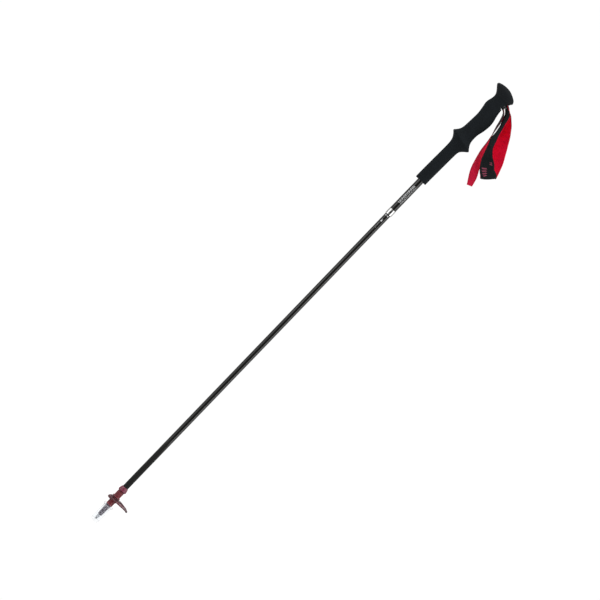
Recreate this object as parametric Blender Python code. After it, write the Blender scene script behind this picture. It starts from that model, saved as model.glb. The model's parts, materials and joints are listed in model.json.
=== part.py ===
"""Two-section ski pole with an internal twist lock, a foam grip, a wrist strap, a basket and a tip protector.

The pole's axis is Z. The origin is the lowest point of the tip protector, on the axis. +X is the side of the
wrist strap and of the basket's long end. Lists of outline points are in millimetres, and MM turns them into metres.
"""

import math

import bmesh
import bpy
from mathutils import Vector

MM = 0.001
GAP = 0.3  # mm, left between pieces that touch on the real pole

# Driving dimensions, in millimetres.
POLE_TOP = 1346.0
UPPER_TUBE_RADIUS = 8.0
UPPER_TUBE_BORE = 7.2
LOWER_TUBE_RADIUS = 7.0
LOWER_TUBE_BORE = 6.2
UPPER_TUBE_FOOT = 956.0
UPPER_TUBE_TOP = 1322.0
LOWER_TUBE_FOOT = 92.3
LOWER_TUBE_TOP = 1055.0
COLLAR_FOOT = 954.6
COLLAR_TOP = 970.0
FOAM_FOOT = 1061.0
FOAM_TOP = 1317.5
FERRULE_FOOT = 19.0
FERRULE_TOP = 120.0
TIP_FOOT = 5.0
FLANGE_FOOT = 43.0
FLANGE_TOP = 47.6
HUB_FOOT = 48.3
HUB_TOP = 90.0
CUP_FOOT = 90.3
CUP_TOP = 102.6
SLOT_HALF_WIDTH = 11.2
SLOT_LOW = 1300.5
SLOT_HIGH = 1326.0
SLOT_BACK = 8.6
PIN_X = 19.0
PIN_Z = 1311.0
PIN_RADIUS = 2.0
PLY_THICKNESS = 1.1
TAIL_THICKNESS = 1.4
RIBBON_STRIPS = 3
LOCK_FOOT = 1062.0
LOCK_TOP = 1096.0
LOCK_CONE_SLOPE = 0.1167

ROUND = 24
FINE_ROUND = 32
SMOOTH_ANGLE = math.radians(40)


# ---------------------------------------------------------------- materials

def make_material(name, color, roughness, metallic=0.0, alpha=1.0):
    material = bpy.data.materials.new(name)
    material.use_nodes = True
    shader = material.node_tree.nodes["Principled BSDF"]
    shader.inputs["Base Color"].default_value = (*color, 1.0)
    shader.inputs["Roughness"].default_value = roughness
    shader.inputs["Metallic"].default_value = metallic
    shader.inputs["Alpha"].default_value = alpha
    material.diffuse_color = (*color, alpha)
    return material


def make_materials():
    return {
        "foam": make_material("foam", (0.020, 0.022, 0.026), 0.90),
        "rubber": make_material("rubber", (0.018, 0.019, 0.022), 0.65),
        "core": make_material("core", (0.030, 0.030, 0.032), 0.50),
        "carbon": make_material("carbon", (0.012, 0.012, 0.011), 0.22),
        "silver": make_material("silver", (0.75, 0.75, 0.76), 0.25, 1.0),
        "steel": make_material("steel", (0.55, 0.56, 0.57), 0.30, 1.0),
        "carbide": make_material("carbide", (0.32, 0.32, 0.33), 0.38, 1.0),
        "black_webbing": make_material("black_webbing", (0.016, 0.018, 0.022), 0.85),
        "red_webbing": make_material("red_webbing", (0.60, 0.005, 0.035), 0.75),
        "lock_plastic": make_material("lock_plastic", (0.55, 0.54, 0.50), 0.45),
        "grey_plastic": make_material("grey_plastic", (0.24, 0.24, 0.26), 0.35),
        "red_plastic": make_material("red_plastic", (0.35, 0.012, 0.03), 0.25, 0.0, 0.85),
        "basket_plastic": make_material("basket_plastic", (0.07, 0.012, 0.018), 0.35),
        "clear_plastic": make_material("clear_plastic", (0.85, 0.87, 0.88), 0.12, 0.0, 0.35),
    }


# ---------------------------------------------------------------- building blocks

def make_body(name, location, parent=None):
    """An empty on a joint's axis, which carries the pieces that move together."""
    empty = bpy.data.objects.new(name, None)
    empty.empty_display_size = 0.02
    bpy.context.scene.collection.objects.link(empty)
    point = Vector(location) * MM
    if parent is not None:
        empty.parent = parent
        point -= Vector(parent["point"])
    empty.location = point
    empty["point"] = tuple(Vector(location) * MM)
    return empty


def add_piece(name, mesh_data, material, body):
    """Links a mesh that was drawn in world millimetres as a piece of a body."""
    bmesh.ops.recalc_face_normals(mesh_data, faces=mesh_data.faces)
    bmesh.ops.scale(mesh_data, vec=(MM, MM, MM), verts=mesh_data.verts)
    bmesh.ops.translate(mesh_data, vec=-Vector(body["point"]), verts=mesh_data.verts)
    mesh = bpy.data.meshes.new(name)
    mesh_data.to_mesh(mesh)
    mesh_data.free()
    mesh.shade_smooth()
    mesh.set_sharp_from_angle(angle=SMOOTH_ANGLE)
    mesh.materials.append(material)
    piece = bpy.data.objects.new(name, mesh)
    piece.parent = body
    bpy.context.scene.collection.objects.link(piece)
    return piece


def join_rings(mesh_data, rings, closed):
    """Faces between each ring and the next, and from the last to the first where the form is closed."""
    pairs = list(zip(rings, rings[1:]))
    if closed:
        pairs.append((rings[-1], rings[0]))
    for low, high in pairs:
        count = max(len(low), len(high))
        for i in range(count):
            j = (i + 1) % count
            if len(low) == 1:
                mesh_data.faces.new((low[0], high[j], high[i]))
            elif len(high) == 1:
                mesh_data.faces.new((low[i], low[j], high[0]))
            else:
                mesh_data.faces.new((low[i], low[j], high[j], high[i]))


def turned(profile, closed=False, segments=ROUND):
    """A profile of (radius, z) turned round the pole's axis.

    An open profile starts and ends on the axis. A closed one is the section of a tube's wall.
    """
    mesh_data = bmesh.new()
    rings = []
    for radius, z in profile:
        if radius == 0:
            rings.append([mesh_data.verts.new((0, 0, z))])
            continue
        angles = [2 * math.pi * i / segments for i in range(segments)]
        rings.append([mesh_data.verts.new((radius * math.cos(a), radius * math.sin(a), z)) for a in angles])
    join_rings(mesh_data, rings, closed)
    return mesh_data


def smooth_rows(rows, per_span):
    """Rows of numbers on a Catmull-Rom curve through the given rows."""
    result = []
    last = len(rows) - 1
    for i in range(last):
        before = rows[max(i - 1, 0)]
        start = rows[i]
        end = rows[i + 1]
        after = rows[min(i + 2, last)]
        for step in range(per_span):
            t = step / per_span
            result.append(tuple(
                0.5 * (2 * b + (c - a) * t + (2 * a - 5 * b + 4 * c - d) * t * t + (3 * b - a - 3 * c + d) * t ** 3)
                for a, b, c, d in zip(before, start, end, after)
            ))
    result.append(tuple(rows[last]))
    return result


def lofted(sections, squareness, segments=FINE_ROUND, pole=None):
    """A solid through tilted oval sections (x left, z left, x right, z right, half depth), bottom to top."""
    mesh_data = bmesh.new()
    rings = []
    for x_left, z_left, x_right, z_right, half_depth in sections:
        ring = []
        for i in range(segments):
            angle = 2 * math.pi * i / segments
            across = math.copysign(abs(math.cos(angle)) ** (2 / squareness), math.cos(angle))
            deep = math.copysign(abs(math.sin(angle)) ** (2 / squareness), math.sin(angle))
            share = 0.5 * (1 + across)
            x = x_left + (x_right - x_left) * share
            z = z_left + (z_right - z_left) * share
            ring.append(mesh_data.verts.new((x, half_depth * deep, z)))
        rings.append(ring)
    join_rings(mesh_data, rings, closed=False)
    mesh_data.faces.new(reversed(rings[0]))
    if pole is None:
        mesh_data.faces.new(rings[-1])
    else:
        join_rings(mesh_data, [rings[-1], [mesh_data.verts.new(pole)]], closed=False)
    return mesh_data


def box(low, high):
    mesh_data = bmesh.new()
    bmesh.ops.create_cube(mesh_data, size=1.0)
    size = [h - l for l, h in zip(low, high)]
    centre = [(l + h) / 2 for l, h in zip(low, high)]
    bmesh.ops.scale(mesh_data, vec=size, verts=mesh_data.verts)
    bmesh.ops.translate(mesh_data, vec=centre, verts=mesh_data.verts)
    return mesh_data


def prism(outline, axis, low, high):
    """An outline of (a, b) points extruded along Y (points are x, z) or along Z (points are x, y)."""
    mesh_data = bmesh.new()
    if axis == "Y":
        corners = [mesh_data.verts.new((a, low, b)) for a, b in outline]
        step = (0, high - low, 0)
    else:
        corners = [mesh_data.verts.new((a, b, low)) for a, b in outline]
        step = (0, 0, high - low)
    face = mesh_data.faces.new(corners)
    made = bmesh.ops.extrude_face_region(mesh_data, geom=[face])
    moved = [item for item in made["geom"] if isinstance(item, bmesh.types.BMVert)]
    bmesh.ops.translate(mesh_data, vec=step, verts=moved)
    return mesh_data


def rod_along_y(x, z, radius, half_length, segments=ROUND):
    outline = [
        (x + radius * math.cos(2 * math.pi * i / segments), z + radius * math.sin(2 * math.pi * i / segments))
        for i in range(segments)
    ]
    return prism(outline, "Y", -half_length, half_length)


def add_cutter(name, mesh_data, body):
    cutter = add_piece(name, mesh_data, None, body)
    cutter.hide_render = True
    cutter.display_type = "WIRE"
    return cutter


def combine(piece, other, operation="DIFFERENCE"):
    modifier = piece.modifiers.new(operation.title(), "BOOLEAN")
    modifier.operation = operation
    modifier.object = other


# ---------------------------------------------------------------- grip

GRIP_SECTIONS = [
    (-14.0, FOAM_FOOT, 13.2, FOAM_FOOT, 13.6),
    (-15.0, 1062.6, 14.2, 1062.6, 14.6),
    (-15.0, 1080, 14.4, 1080, 14.7),
    (-14.6, 1105, 15.0, 1105, 14.8),
    (-14.0, 1130, 15.5, 1130, 14.8),
    (-13.6, 1150, 16.0, 1148, 15.0),
    (-13.6, 1163, 16.6, 1160, 15.3),
    (-14.2, 1172, 18.5, 1167, 16.2),
    (-16.5, 1181, 24.0, 1173.5, 18.6),
    (-22.0, 1189.5, 30.2, 1178.5, 21.6),
    (-26.8, 1195, 33.0, 1182, 23.4),
    (-23.8, 1199.5, 30.0, 1186, 21.6),
    (-19.5, 1205, 25.4, 1192.5, 18.9),
    (-16.6, 1211, 22.3, 1200, 17.1),
    (-15.0, 1219, 21.2, 1210, 16.2),
    (-14.3, 1229, 21.8, 1223, 15.9),
    (-13.6, 1241, 25.4, 1238, 16.2),
    (-13.0, 1258, 27.6, 1256, 16.9),
    (-14.0, 1270, 26.6, 1269, 16.8),
    (-15.8, 1281, 24.0, 1280, 16.4),
    (-17.2, 1290, 22.2, 1290, 16.2),
    (-16.0, 1299, 21.2, 1299, 16.3),
    (-13.9, 1307, 21.2, 1307, 16.7),
    (-13.3, 1313, 22.5, 1313, 17.1),
    (-13.6, FOAM_TOP, 25.5, FOAM_TOP, 17.6),
]

HEAD_SECTIONS = [
    (-13.7, FOAM_TOP + GAP, 25.8, FOAM_TOP + GAP, 17.7),
    (-15.0, 1321, 28.6, 1321, 18.4),
    (-17.6, 1325, 30.2, 1325, 19.6),
    (-21.5, 1330, 29.6, 1330, 20.6),
    (-25.3, 1334.5, 26.6, 1334.5, 20.8),
    (-27.6, 1338.3, 21.0, 1338.3, 19.8),
    (-26.0, 1341.5, 15.0, 1341.5, 17.0),
    (-20.0, 1344, 8.5, 1344, 12.5),
    (-12.0, 1345.6, 2.0, 1345.6, 6.5),
]

CORE_FOOT = 1262.0
CORE_BLOCK_FOOT = 1294.0
CORE_TOP = 1331.0
CORE_SLEEVE_RADIUS = 10.6
CORE_BLOCK = (-11.0, 17.5, 13.6)  # x left, x right, half depth
GRIP_SQUARENESS = 2.5
CORE_SQUARENESS = 2.6


def core_solid(grow):
    """The hard insert's outline as two solids, a sleeve and a block, each grown by the given amount."""
    left, right, deep = CORE_BLOCK
    sleeve = turned([
        (0, CORE_FOOT - grow),
        (CORE_SLEEVE_RADIUS + grow, CORE_FOOT - grow),
        (CORE_SLEEVE_RADIUS + grow, CORE_BLOCK_FOOT + 2),
        (0, CORE_BLOCK_FOOT + 2),
    ])
    rows = [
        (left - grow, z, right + grow, z, deep + grow)
        for z in (CORE_BLOCK_FOOT - grow, CORE_TOP + grow)
    ]
    return sleeve, lofted(rows, CORE_SQUARENESS)


def build_grip(materials, grip):
    slot_low = (SLOT_BACK, -SLOT_HALF_WIDTH, SLOT_LOW)
    slot_high = (45.0, SLOT_HALF_WIDTH, SLOT_HIGH)
    slot = add_cutter("cut_strap_slot", box(slot_low, slot_high), grip)
    sleeve_room, block_room = core_solid(GAP)
    sleeve_room = add_cutter("cut_core_sleeve", sleeve_room, grip)
    block_room = add_cutter("cut_core_block", block_room, grip)
    tube_room = turned([
        (0, FOAM_FOOT - 5),
        (UPPER_TUBE_RADIUS + GAP, FOAM_FOOT - 5),
        (UPPER_TUBE_RADIUS + GAP, UPPER_TUBE_TOP + 1.5),
        (0, UPPER_TUBE_TOP + 1.5),
    ])
    tube_room = add_cutter("cut_tube_bore", tube_room, grip)

    foam = add_piece("grip_foam", lofted(GRIP_SECTIONS, GRIP_SQUARENESS), materials["foam"], grip)
    dome = lofted(HEAD_SECTIONS, GRIP_SQUARENESS, pole=(-5, 0, POLE_TOP))
    head = add_piece("grip_head", dome, materials["rubber"], grip)
    sleeve, block = core_solid(0)
    core = add_piece("grip_core", block, materials["core"], grip)
    core_sleeve = add_cutter("join_core_sleeve", sleeve, grip)
    combine(core, core_sleeve, "UNION")
    for cutter in (tube_room, sleeve_room, block_room, slot):
        combine(foam, cutter)
    for cutter in (block_room, slot):
        combine(head, cutter)
    for cutter in (tube_room, slot):
        combine(core, cutter)


# ---------------------------------------------------------------- upper tube

def build_upper_tube(materials, grip):
    outer, bore = UPPER_TUBE_RADIUS, UPPER_TUBE_BORE
    tube = [(bore, UPPER_TUBE_FOOT), (outer, UPPER_TUBE_FOOT), (outer, UPPER_TUBE_TOP), (bore, UPPER_TUBE_TOP)]
    add_piece("upper_tube", turned(tube, closed=True), materials["carbon"], grip)

    plug_radius = bore - 0.2
    plug = [
        (0, UPPER_TUBE_TOP - 10),
        (plug_radius - 0.8, UPPER_TUBE_TOP - 10),
        (plug_radius, UPPER_TUBE_TOP - 9),
        (plug_radius, UPPER_TUBE_TOP + GAP),
        (outer - 0.2, UPPER_TUBE_TOP + GAP),
        (outer - 0.2, UPPER_TUBE_TOP + 1.2),
        (0, UPPER_TUBE_TOP + 1.2),
    ]
    add_piece("tube_top_plug", turned(plug), materials["lock_plastic"], grip)

    # The silver collar covers the tube's end, and its lip guides the lower tube.
    lip_bore = LOWER_TUBE_RADIUS + 0.15
    sleeve_bore = outer + 0.2
    collar_radius = outer + 0.7
    collar = [
        (lip_bore, COLLAR_FOOT),
        (collar_radius - 0.4, COLLAR_FOOT),
        (collar_radius, COLLAR_FOOT + 0.4),
        (collar_radius, COLLAR_TOP - 0.4),
        (collar_radius - 0.3, COLLAR_TOP),
        (sleeve_bore, COLLAR_TOP),
        (sleeve_bore, UPPER_TUBE_FOOT - GAP),
        (lip_bore, UPPER_TUBE_FOOT - GAP),
    ]
    add_piece("tube_collar", turned(collar, closed=True), materials["silver"], grip)


# ---------------------------------------------------------------- wrist strap

# A leg's row is x, y, z, width, lean and twist. Lean is the angle of the band's width from +X in the XZ plane,
# and twist is how far its +X edge is turned towards -Y.
FRONT_LEG = [
    (25.9, 0.0, 1312.0, 17.0, 55, 74),
    (33.0, -1.5, 1307.0, 18.0, 48, 64),
    (39.5, -4.5, 1299.0, 20.0, 27, 58),
    (45.5, -9.0, 1280.0, 22.0, 16, 68),
    (50.3, -13.0, 1260.0, 24.0, 12, 68),
    (53.3, -15.0, 1243.0, 26.0, 14, 63),
    (58.3, -16.0, 1228.0, 28.0, 21, 63),
    (64.5, -16.5, 1214.5, 30.0, 28, 59),
    (71.5, -15.5, 1203.0, 32.0, 37, 48),
    (82.0, -12.0, 1191.5, 34.0, 43, 27),
    (91.0, -8.5, 1180.5, 33.5, 44, 12),
]
FOLD_CENTRE = (102.9, 0.0, 1173.5)
FOLD_RADIUS = 5.0
FOLD_LEAN = 44
FOLD_WIDTH = 36.5
FOLD_STEPS = 8
REAR_LEG = [
    (98.3, 9.5, 1188.3, 37.5, 23, 10),
    (91.0, 13.0, 1210.0, 37.0, 23, 14),
    (80.8, 15.0, 1231.0, 35.5, 24, 14),
    (70.7, 15.5, 1251.5, 34.0, 25, 20),
    (64.6, 14.5, 1268.0, 31.0, 30, 33),
    (57.9, 12.5, 1281.0, 28.0, 33, 44),
    (50.0, 9.5, 1293.0, 25.0, 36, 55),
    (42.0, 6.0, 1304.0, 22.0, 42, 72),
    (33.5, 2.5, 1312.0, 19.0, 50, 92),
    (26.0, 0.5, 1317.3, 17.0, 63, 95),
    (20.5, 0.0, 1318.7, 17.0, 80, 90),
]
TAIL = [
    (20.5, 0.0, 1303.8, 16.0, 90, -90),
    (25.5, 0.5, 1302.6, 16.5, 60, -94),
    (31.0, 1.5, 1296.5, 18.0, 37, -99),
    (37.0, 3.0, 1281.0, 20.0, 19, -101),
    (41.0, 4.5, 1262.0, 21.0, 12, -98),
    (45.0, 5.5, 1244.0, 21.0, 12, -87),
    (50.0, 6.0, 1226.0, 21.0, 13, -72),
    (54.5, 6.5, 1207.0, 21.0, 15, -60),
    (61.5, 6.5, 1186.0, 21.0, 22, -40),
    (70.0, 5.5, 1165.0, 21.0, 27, -20),
    (78.5, 4.5, 1148.0, 19.5, 26, -12),
    (86.5, 4.0, 1129.0, 13.0, 21, -10),
]


def fold_rows():
    """The U-turn at the bottom of the loop, about a line that leans as the band's width does."""
    lean = math.radians(FOLD_LEAN)
    down = Vector((math.sin(lean), 0, -math.cos(lean)))
    rows = []
    for step in range(FOLD_STEPS + 1):
        turn = math.pi * step / FOLD_STEPS
        point = Vector(FOLD_CENTRE) + FOLD_RADIUS * (math.sin(turn) * down - math.cos(turn) * Vector((0, 1, 0)))
        rows.append((*point, FOLD_WIDTH, FOLD_LEAN, 0))
    return rows


def ribbon(rows, thickness, offset):
    """A flat band along the rows' centre line. Offset moves it along its own normal.

    Every strip is cut along the same diagonal, so that two plies of a twisted band stay clear of each other.
    """
    centres = [Vector(row[:3]) for row in rows]
    shares = [2 * i / RIBBON_STRIPS - 1 for i in range(RIBBON_STRIPS + 1)]
    outline = [(share, -0.5) for share in shares] + [(share, 0.5) for share in reversed(shares)]
    mesh_data = bmesh.new()
    rings = []
    for i, (centre, row) in enumerate(zip(centres, rows)):
        ahead = centres[min(i + 1, len(rows) - 1)]
        behind = centres[max(i - 1, 0)]
        along = (ahead - behind).normalized()
        lean, twist = math.radians(row[4]), math.radians(row[5])
        across = Vector((math.cos(twist) * math.cos(lean), -math.sin(twist), math.cos(twist) * math.sin(lean)))
        across = (across - along * across.dot(along)).normalized()
        normal = along.cross(across)
        ring = []
        for share, level in outline:
            point = centre + across * (share * row[3] / 2) + normal * (offset + level * thickness)
            ring.append(mesh_data.verts.new(point))
        rings.append(ring)
    count = len(outline)
    for low, high in zip(rings, rings[1:]):
        for i in range(count):
            j = (i + 1) % count
            # The lower side's corners run the other way, so its diagonal is turned to match the upper side's.
            if i < RIBBON_STRIPS:
                mesh_data.faces.new((low[i], low[j], high[j]))
                mesh_data.faces.new((low[i], high[j], high[i]))
            else:
                mesh_data.faces.new((low[i], low[j], high[i]))
                mesh_data.faces.new((low[j], high[j], high[i]))
    mesh_data.faces.new(rings[0])
    mesh_data.faces.new(rings[-1])
    return mesh_data


def build_strap(materials, wedge, strap):
    # The wedge's back wall and two cheeks hold the pin, and the webbing turns round the pin between them.
    cheek_inner, cheek_outer = 8.9, 10.9
    wedge_outline = [(9.0, 1303.5), (19.5, 1304.8), (22.0, 1307.5), (22.0, 1314.5), (19.5, 1317.2), (9.0, 1320.5)]
    block = prism(wedge_outline, "Y", -cheek_outer, cheek_outer)
    wedge_piece = add_piece("strap_wedge", block, materials["core"], wedge)
    room = box((11.6, -cheek_inner, 1300), (25, cheek_inner, 1323))
    combine(wedge_piece, add_cutter("cut_wedge_room", room, wedge))
    hole = rod_along_y(PIN_X, PIN_Z, PIN_RADIUS + 0.15, cheek_outer + 2)
    combine(wedge_piece, add_cutter("cut_pin_hole", hole, wedge))
    add_piece("strap_pin", rod_along_y(PIN_X, PIN_Z, PIN_RADIUS, cheek_outer - 0.1), materials["steel"], wedge)

    wrap_bore, wrap_radius, wrap_half_width = PIN_RADIUS + 0.3, 5.9, 8.4
    wrap = rod_along_y(PIN_X, PIN_Z, wrap_radius, wrap_half_width)
    wrap_piece = add_piece("strap_root_wrap", wrap, materials["black_webbing"], strap)
    wrap_hole = rod_along_y(PIN_X, PIN_Z, wrap_bore, wrap_half_width + 2)
    combine(wrap_piece, add_cutter("cut_wrap_hole", wrap_hole, strap))

    fold = fold_rows()
    loop = smooth_rows(FRONT_LEG + fold[:1], 2)[:-1] + fold + smooth_rows(fold[-1:] + REAR_LEG, 2)[1:]
    ply_offset = (PLY_THICKNESS + GAP) / 2
    add_piece("strap_band", ribbon(loop, PLY_THICKNESS, ply_offset), materials["black_webbing"], strap)
    add_piece("strap_lining", ribbon(loop, PLY_THICKNESS, -ply_offset), materials["red_webbing"], strap)
    add_piece("strap_tail", ribbon(smooth_rows(TAIL, 2), TAIL_THICKNESS, 0), materials["red_webbing"], strap)


# ---------------------------------------------------------------- twist lock

def build_lock(materials, expander, cone, lower):
    stud_radius = 2.4
    shell_radius = UPPER_TUBE_BORE - 0.25
    cone_mouth = LOCK_FOOT + 10
    mouth_bore = 3.4
    top_bore = mouth_bore + LOCK_CONE_SLOPE * (LOCK_TOP - cone_mouth)
    shell = [
        (stud_radius + 0.4, LOCK_FOOT),
        (shell_radius - 0.6, LOCK_FOOT),
        (shell_radius, LOCK_FOOT + 1),
        (shell_radius, LOCK_TOP - 1),
        (shell_radius - 0.3, LOCK_TOP),
        (top_bore, LOCK_TOP),
        (mouth_bore, cone_mouth),
        (stud_radius + 0.4, cone_mouth),
    ]
    shell_piece = add_piece("lock_expander", turned(shell, closed=True), materials["lock_plastic"], expander)
    half_slit = 0.7
    slit_foot = LOCK_FOOT + 14
    for name, wide, deep in (("x", 12, half_slit), ("y", half_slit, 12)):
        slit = box((-wide, -deep, slit_foot), (wide, deep, LOCK_TOP + 5))
        combine(shell_piece, add_cutter("cut_expander_slit_" + name, slit, expander))

    cone_foot, cone_top, cone_clearance = LOCK_FOOT + 15, LOCK_TOP + 4, 0.35

    def cone_radius(z):
        return mouth_bore + LOCK_CONE_SLOPE * (z - cone_mouth) - cone_clearance

    nut = [
        (stud_radius + 0.25, cone_foot),
        (cone_radius(cone_foot), cone_foot),
        (cone_radius(cone_top), cone_top),
        (stud_radius + 0.25, cone_top),
    ]
    add_piece("lock_cone", turned(nut, closed=True), materials["lock_plastic"], cone)

    stud_foot, stud_top = LOWER_TUBE_TOP - 18, LOCK_TOP + 12
    neck_radius, neck_foot = stud_radius - 0.5, stud_top - 4.5
    stud = [
        (0, stud_foot),
        (stud_radius - 0.4, stud_foot),
        (stud_radius, stud_foot + 0.5),
        (stud_radius, neck_foot),
        (neck_radius, neck_foot),
        (neck_radius, stud_top),
        (0, stud_top),
    ]
    add_piece("lock_stud", turned(stud), materials["steel"], lower)
    stop_radius = 3.8
    stop = [
        (neck_radius + 0.15, neck_foot + GAP),
        (stop_radius, neck_foot + GAP),
        (stop_radius, stud_top - 1),
        (neck_radius + 0.15, stud_top - 1),
    ]
    add_piece("stud_end_stop", turned(stop, closed=True), materials["steel"], lower)

    plug_radius = LOWER_TUBE_BORE - 0.2
    plug = [
        (stud_radius + 0.15, stud_foot - 2),
        (plug_radius - 0.6, stud_foot - 2),
        (plug_radius, stud_foot - 1),
        (plug_radius, LOWER_TUBE_TOP + GAP),
        (LOWER_TUBE_RADIUS - 0.1, LOWER_TUBE_TOP + GAP),
        (LOWER_TUBE_RADIUS - 0.1, LOWER_TUBE_TOP + 3),
        (stud_radius + 0.15, LOWER_TUBE_TOP + 3),
    ]
    add_piece("stud_plug", turned(plug, closed=True), materials["lock_plastic"], lower)


# ---------------------------------------------------------------- lower tube and tip

def build_lower_section(materials, lower):
    outer, bore = LOWER_TUBE_RADIUS, LOWER_TUBE_BORE
    tube = [(bore, LOWER_TUBE_FOOT), (outer, LOWER_TUBE_FOOT), (outer, LOWER_TUBE_TOP), (bore, LOWER_TUBE_TOP)]
    add_piece("lower_tube", turned(tube, closed=True), materials["carbon"], lower)

    # The ferrule runs up through the basket's hub, and its spigot fills the tube's foot.
    holder_bore = 2.35
    holder_room = FERRULE_FOOT + 14
    spigot = bore - 0.2
    shank = 6.3
    ferrule = [
        (0, holder_room),
        (holder_bore, holder_room),
        (holder_bore, FERRULE_FOOT),
        (4.7, FERRULE_FOOT),
        (5.2, FERRULE_FOOT + 1),
        (5.9, FLANGE_FOOT - 1),
        (5.9, FLANGE_TOP + GAP),
        (shank, FLANGE_TOP + GAP),
        (shank, HUB_TOP),
        (outer, HUB_TOP + 0.2),
        (outer, LOWER_TUBE_FOOT - GAP),
        (spigot, LOWER_TUBE_FOOT - GAP),
        (spigot, FERRULE_TOP - 1),
        (spigot - 1, FERRULE_TOP),
        (0, FERRULE_TOP),
    ]
    add_piece("tip_ferrule", turned(ferrule), materials["grey_plastic"], lower)

    flange = [
        (6.1, FLANGE_FOOT),
        (6.7, FLANGE_FOOT),
        (7.0, FLANGE_FOOT + 0.4),
        (7.0, FLANGE_TOP - 0.4),
        (6.7, FLANGE_TOP),
        (6.1, FLANGE_TOP),
    ]
    add_piece("ferrule_flange", turned(flange, closed=True), materials["grey_plastic"], lower)

    cup_bore = outer + GAP
    cup = [
        (cup_bore, CUP_FOOT),
        (8.6, CUP_FOOT),
        (9.9, CUP_FOOT + 0.9),
        (10.4, CUP_FOOT + 2.6),
        (10.0, CUP_FOOT + 5.0),
        (8.9, CUP_TOP - 2.4),
        (8.1, CUP_TOP - 0.4),
        (7.8, CUP_TOP),
        (cup_bore, CUP_TOP),
    ]
    add_piece("ferrule_cup", turned(cup, closed=True), materials["red_plastic"], lower)

    # The steel holder's stem sits in the ferrule, and the carbide point's stem sits in the holder.
    holder_foot, stem_top = 10.0, FERRULE_FOOT + 13
    point_bore = 1.35
    holder = [
        (0, holder_foot + 5),
        (point_bore, holder_foot + 5),
        (point_bore, holder_foot),
        (2.5, holder_foot),
        (2.9, holder_foot + 0.6),
        (3.1, FERRULE_FOOT - GAP),
        (holder_bore - 0.2, FERRULE_FOOT - GAP),
        (holder_bore - 0.2, stem_top),
        (0, stem_top),
    ]
    add_piece("tip_holder", turned(holder), materials["steel"], lower)
    point = [
        (0, TIP_FOOT + 0.9),
        (1.5, TIP_FOOT),
        (1.9, TIP_FOOT + 0.2),
        (2.3, holder_foot - 1.2),
        (2.3, holder_foot - GAP),
        (point_bore - 0.15, holder_foot - GAP),
        (point_bore - 0.15, holder_foot + 4.5),
        (0, holder_foot + 4.5),
    ]
    add_piece("carbide_tip", turned(point), materials["carbide"], lower)


# ---------------------------------------------------------------- basket

DISC_BORE = 8.3
DISC_CENTRE_X = 13.0
DISC_HALF_LENGTH = 29.0
DISC_HALF_DEPTH = 26.0
DISC_SEGMENTS = 48
# Each row is the share of the way from the bore to the rim, z, and how far the row drops where the rim has its lip.
DISC_SECTION = [
    (0.00, 69.8, 0.0),
    (0.40, 68.9, 0.0),
    (0.80, 66.8, 0.0),
    (0.90, 65.0, 2.6),
    (0.96, 64.8, 3.3),
    (1.00, 65.6, 2.0),
    (0.99, 66.8, 0.6),
    (0.90, 67.8, 0.0),
    (0.40, 70.8, 0.0),
    (0.00, 72.0, 0.0),
]
# Each window is its middle angle and its half angle, in degrees, and the shares at its inner and outer ends.
WINDOWS = [(-92, 31, 0.20, 0.84), (92, 31, 0.20, 0.84), (-34, 19, 0.36, 0.76), (34, 19, 0.36, 0.76)]
NARROWEST_SPOKE = 1.6


def disc_radius(angle):
    """The distance from the pole's axis to the rim, which is an ellipse moved along +X."""
    a, b, offset = DISC_HALF_LENGTH, DISC_HALF_DEPTH, DISC_CENTRE_X
    cosine, sine = math.cos(angle), math.sin(angle)
    quadratic = (cosine / a) ** 2 + (sine / b) ** 2
    linear = -2 * offset * cosine / a ** 2
    constant = (offset / a) ** 2 - 1
    return (-linear + math.sqrt(linear ** 2 - 4 * quadratic * constant)) / (2 * quadratic)


def disc_point(angle, share):
    radius = DISC_BORE + (disc_radius(angle) - DISC_BORE) * share
    return radius * math.cos(angle), radius * math.sin(angle)


def lip_depth(angle):
    """How much of the rim's lip there is: all of it at the long end's tip and along the short end."""
    toward_long_end = math.cos(angle)
    if toward_long_end > 0:
        return toward_long_end ** 24
    share = min(max((-toward_long_end - 0.1) / 0.4, 0.0), 1.0)
    return share * share * (3 - 2 * share)


def window_outline(middle, half_angle, inner, outer):
    """An opening between two spokes, with its sides parallel to them."""
    steps = 8
    outline = []
    for share, turn in ((inner, 1), (outer, -1)):
        centre_radius = math.hypot(*disc_point(math.radians(middle), share))
        half = math.radians(half_angle) - NARROWEST_SPOKE / 2 / centre_radius
        for i in range(steps + 1):
            angle = math.radians(middle) + turn * half * (2 * i / steps - 1)
            outline.append(disc_point(angle, share))
    return outline


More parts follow.
